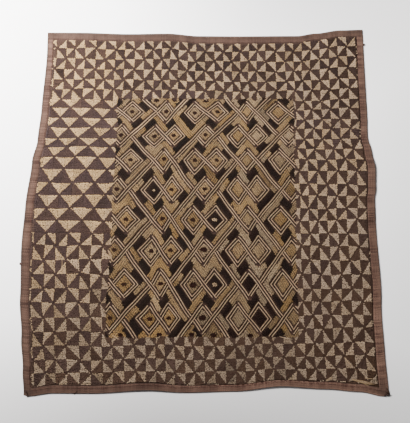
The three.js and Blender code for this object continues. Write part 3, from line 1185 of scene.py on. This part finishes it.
def strands(name, ends, spray, material):
    """Loose strands that lie on the cloth from one place to another, several to each."""
    share = np.linspace(0, 1, STRAND_RINGS)
    paths = []
    for (x0, y0), (x1, y1), many in ends:
        for _ in range(many):
            bow = chance.normal(0, spray) * np.sin(math.pi * share)
            sway = chance.normal(0, spray, 4)
            x = x0 + sway[0] + (x1 - x0 + sway[1]) * share + bow * (y1 - y0) / 12
            y = y0 + sway[2] + (y1 - y0 + sway[3]) * share - bow * (x1 - x0) / 12
            paths.append(np.stack([x, y, surface(x, y) + 0.1], axis=1))
    paths = np.array(paths)
    along = np.gradient(paths[:, :, :2], axis=1)
    along /= np.linalg.norm(along, axis=2, keepdims=True)
    half = STRAND_WIDTH / 2 * np.interp(share, *zip(*STRAND_TAPER))
    points = np.repeat(paths[:, :, None, :], 3, axis=2)
    for k, side in ((0, 1), (2, -1)):
        points[:, :, k, :2] += side * half[:, None] * crosswise(along)
    points[:, :, 1, 2] += 1.2 * half
    count = len(paths)
    points = points.reshape(count, -1, 3)
    tone = 0.5 + 0.2 * chance.normal(0, 1, count)
    hue = chance.random(count)
    tip = np.ones(3 * STRAND_RINGS)
    return fibre_piece(name, points, strand_shape(), tone, hue, tip, material)


def knots(name, places, material):
    """Small hard knots of sewing strand on the folded edge."""
    bm = bmesh.new()
    for x, y, radius in places:
        away, _, up = from_edges(*unlaid(np.array([x]), np.array([y])))
        height = KNOT_HEIGHT + float(lift(away, up)[0])
        for vert in bmesh.ops.create_icosphere(bm, subdivisions=2, radius=radius * MM)["verts"]:
            vert.co *= 1 + 0.12 * chance.normal()
            vert.co.z = max(-KNOT_HALF * MM, min(KNOT_HALF * MM, vert.co.z * 0.5))
            vert.co.x += (x + MIDDLE[0]) * MM
            vert.co.y += (y + MIDDLE[1]) * MM
            vert.co.z += height * MM
    for face in bm.faces:
        face.smooth = True
    mesh = mesh_from(name, bm)
    for label, value in (("tone", 0.5), ("hue", 0.5), ("tip", 1.0)):
        give(mesh, label, np.full(len(mesh.vertices), value))
    return new_piece(name, mesh, material)


# Floor, camera and light


def add_floor():
    bm = bmesh.new()
    bmesh.ops.create_grid(bm, x_segments=4, y_segments=4, size=4)
    floor = put("floor", mesh_from("floor", bm))
    floor.location.z = -FLOOR_DROP
    floor.data.materials.append(floor_material())
    return floor


def add_camera():
    data = bpy.data.cameras.new("camera")
    data.lens = LENS
    data.sensor_width = SENSOR
    camera = put("camera", data)
    x, y = (np.array(AIM) + MIDDLE) * MM
    camera.location = (x, y - DISTANCE * math.sin(TILT), DISTANCE * math.cos(TILT))
    camera.rotation_euler = (TILT, 0, 0)
    bpy.context.scene.camera = camera


def soft_light(name, place, aim_at, size, watts, tint):
    """A round lamp of this size, in metres, turned to a spot."""
    data = bpy.data.lights.new(name, "AREA")
    data.shape = "DISK"
    data.size = size
    data.energy = watts
    data.color = tint
    light = put(name, data)
    light.location = place
    x, y, z = np.array(aim_at) - np.array(place)
    light.rotation_euler = (math.atan2(math.hypot(x, y), -z), 0, math.atan2(y, x) - math.pi / 2)


def add_world():
    world = bpy.data.worlds.new("studio")
    world.use_nodes = True
    tree = world.node_tree
    wire(tree, tree.nodes["Background"], {"Color": (0.9, 0.9, 0.92, 1), "Strength": 0.1})
    bpy.context.scene.world = world


# The scene

fibre = raffia_fibre_group()
weave = plain_weave_group()
raffia = {name: raffia_material(name, fibre, *look) for name, look in RAFFIAS.items()}

cloth = woven_cloth(woven_material(weave))
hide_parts("raffia_cloth")

rings, bands = band_lines()
sorts = sort_tufts(rings, bands)
upper = sorts["D"]["y"] > 0
pieces = [
    pile("pale_pile", sorts["C"], raffia["cream_raffia"]),
    pile("upper_dark_pile", part_of(sorts["D"], upper), raffia["dark_raffia"]),
    pile("lower_dark_pile", part_of(sorts["D"], ~upper), raffia["dark_raffia"]),
    pile("gold_pile", sorts["G"], raffia["gold_raffia"], wide=1.32),
    pile("black_pile", sorts["K"], raffia["black_raffia"], wide=1.35),
    line_piece("pale_lines", CREAM_OFFSETS, 1.65, 2.6, rings, bands, raffia["cream_strand"]),
    line_piece("brown_lines", DARK_OFFSETS, 1.5, 2.2, rings, bands, raffia["brown_strand"]),
    hem_sewing("hem_sewing", HEM_ROWS, raffia["red_strand"]),
    strands("pale_ends", PALE_ENDS, 0.6, raffia["cream_raffia"]),
    strands("dark_ends", DARK_ENDS, 1, raffia["brown_strand"]),
    knots("knots", KNOTS, raffia["dark_raffia"]),
]

floor = add_floor()

add_camera()
soft_light("key_light", (-0.6, 0.43, 0.75), (-0.29, 0.66, 0), 0.6, 77, (1, 0.985, 0.97))
soft_light("fill_light", (1.0, -0.7, 1.9), (0, 0, 0), 1.6, 4, (0.98, 0.98, 1))
add_world()
